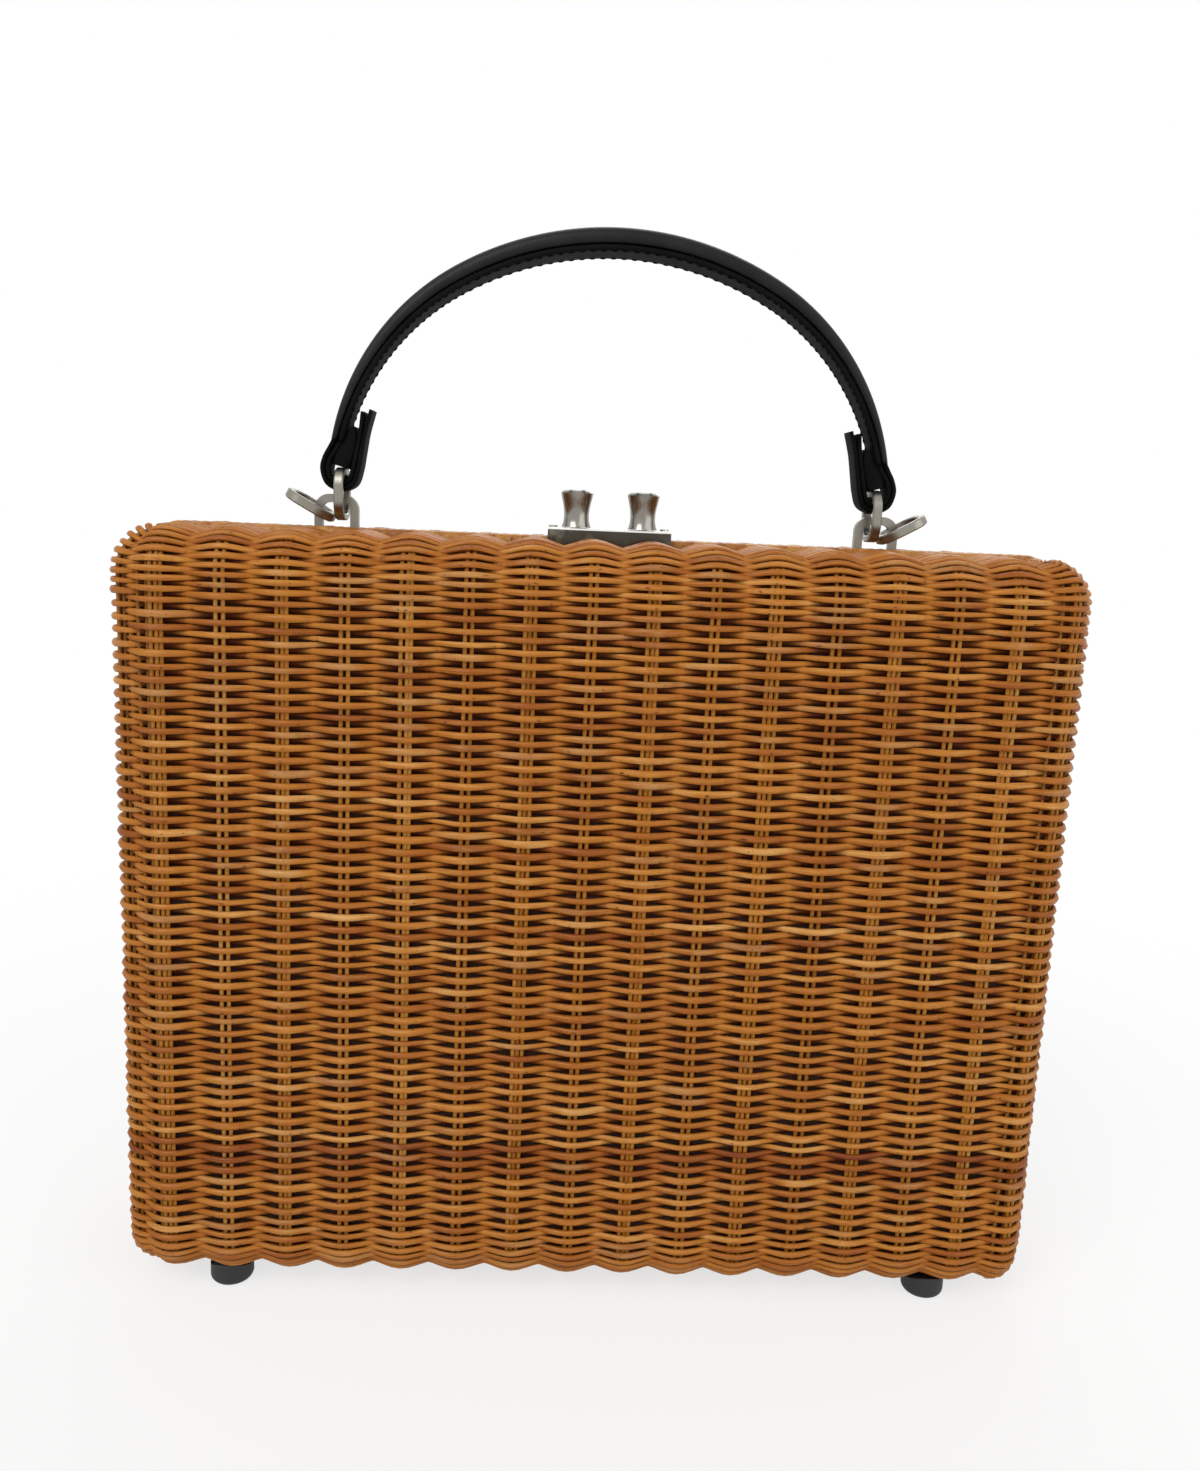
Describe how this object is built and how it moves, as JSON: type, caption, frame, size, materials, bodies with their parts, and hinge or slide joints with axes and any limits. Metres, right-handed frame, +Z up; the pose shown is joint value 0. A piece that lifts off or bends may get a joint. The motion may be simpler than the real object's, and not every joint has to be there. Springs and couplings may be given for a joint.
{
  "type": "woven rattan briefcase",
  "caption": "Stiff woven rattan clamshell briefcase with a padded black leather handle, nickel strap rings and a squeeze clasp",
  "frame": {"origin": "middle of the footprint, on the surface the four feet stand on", "axes": "+X to the right of someone facing the clasp side, +Y from front to back, +Z up to the handle"},
  "size_m": [0.3008, 0.095, 0.3458],
  "materials": {
    "rattan": "varnished honey rattan strands",
    "cane_rim": "varnished cane wrapping",
    "lining": "plain woven cloth",
    "leather_black": "smooth black leather, soft sheen",
    "nickel": "satin nickel plate",
    "nickel_polished": "polished nickel plate",
    "steel": "plain steel",
    "rubber_black": "black rubber"
  },
  "bodies": {
    "back": {"back_shell": "rattan", "back_rim": "cane_rim", "back_lining": "lining", "back_hinge_screws": "steel", "clasp_catch": "nickel_polished", "catch_rivets": "nickel_polished", "eye_washers": "nickel", "hinge_left_back_leaf": "steel", "hinge_right_back_leaf": "steel", "hinge_left_pin": "steel", "hinge_right_pin": "steel", "foot_back_left": "rubber_black", "foot_back_right": "rubber_black", "eye_left": "nickel", "eye_right": "nickel"},
    "front": {"front_shell": "rattan", "front_rim": "cane_rim", "front_lining": "lining", "front_hinge_screws": "steel", "clasp_base": "nickel_polished", "clasp_rivets": "nickel_polished", "hinge_left_front_leaf": "steel", "hinge_right_front_leaf": "steel", "foot_front_left": "rubber_black", "foot_front_right": "rubber_black", "latch_spring_left": "steel", "latch_spring_right": "steel"},
    "handle": {"handle_cover": "leather_black", "handle_strap": "leather_black", "handle_loop_left": "leather_black", "handle_loop_right": "leather_black", "handle_ring_left": "nickel", "handle_ring_right": "nickel"},
    "strap_ring_left": {"strap_ring_left": "nickel"},
    "strap_ring_right": {"strap_ring_right": "nickel"},
    "knob_left": {"knob_left": "nickel_polished", "bolt_left": "steel"},
    "knob_right": {"knob_right": "nickel_polished", "bolt_right": "steel"}
  },
  "joints": [
    {"name": "lid_hinge", "type": "hinge", "parent": "back", "child": "front", "pos_m": [0, 0, 0.00285], "axis": [1, 0, 0], "range_deg": [0, 150]},
    {"name": "handle_swing", "type": "hinge", "parent": "back", "child": "handle", "pos_m": [0, 0.00315, 0.25795], "axis": [1, 0, 0], "range_deg": [-60, 60]},
    {"name": "strap_ring_left_swing", "type": "hinge", "parent": "back", "child": "strap_ring_left", "pos_m": [-0.0915, 0.00315, 0.2519], "axis": [0, 1, 0], "range_deg": [-25, 0]},
    {"name": "strap_ring_right_swing", "type": "hinge", "parent": "back", "child": "strap_ring_right", "pos_m": [0.0915, 0.00315, 0.2519], "axis": [0, -1, 0], "range_deg": [-25, 0]},
    {"name": "knob_left_slide", "type": "slide", "parent": "front", "child": "knob_left", "axis": [1, 0, 0], "range_m": [0, 0.004], "stiffness_N_per_m": 150, "springref_m": -0.002, "deforming": ["latch_spring_left"]},
    {"name": "knob_right_slide", "type": "slide", "parent": "front", "child": "knob_right", "axis": [-1, 0, 0], "range_m": [0, 0.004], "stiffness_N_per_m": 150, "springref_m": -0.002, "deforming": ["latch_spring_right"]}
  ]
}
